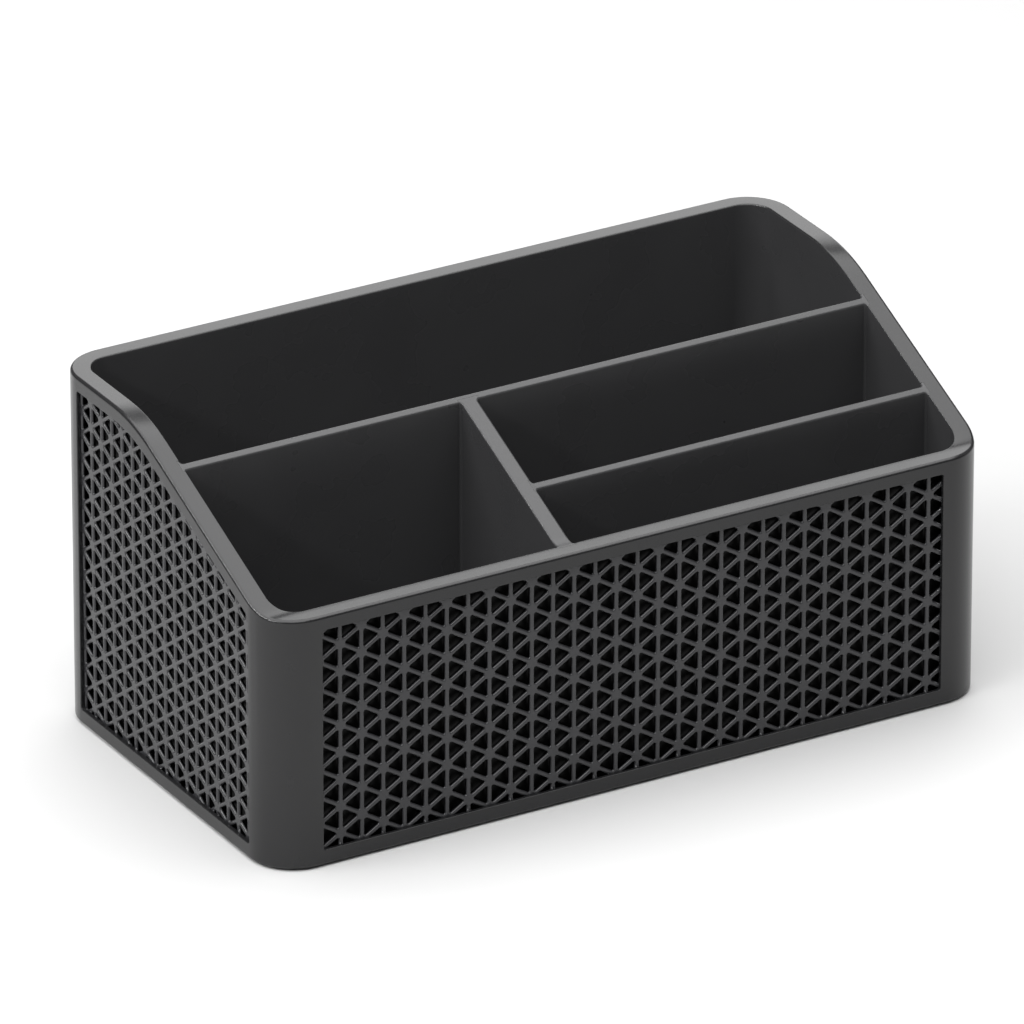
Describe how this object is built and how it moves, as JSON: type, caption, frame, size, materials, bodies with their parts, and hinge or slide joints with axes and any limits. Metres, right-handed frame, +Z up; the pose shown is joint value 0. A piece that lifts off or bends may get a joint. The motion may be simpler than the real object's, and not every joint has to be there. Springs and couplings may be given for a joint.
{
  "type": "remote control holder",
  "caption": "Open-topped desk caddy for remote controls: a smooth tray with dividers and a sloping rim, inside a case with triangular lattice windows.",
  "frame": {"origin": "on the table, under the middle of the case", "axes": "+X to the right as seen from the front, along the width; front towards -Y, high back towards +Y; +Z up"},
  "size_m": [0.254, 0.137, 0.1186],
  "materials": {
    "case_plastic": "charcoal, fine matt texture",
    "lattice_plastic": "charcoal, satin",
    "tray_plastic": "charcoal, fine matt texture",
    "pad_rubber": "soft black rubber"
  },
  "bodies": {
    "root": {"outer_shell": "case_plastic", "front_lattice": "lattice_plastic", "back_lattice": "lattice_plastic", "left_lattice": "lattice_plastic", "right_lattice": "lattice_plastic", "base_plate": "case_plastic", "inner_tray": "tray_plastic", "long_divider": "tray_plastic", "cross_divider": "tray_plastic", "short_divider": "tray_plastic", "foot_front_left": "pad_rubber", "foot_front_right": "pad_rubber", "foot_back_left": "pad_rubber", "foot_back_right": "pad_rubber"}
  },
  "joints": []
}
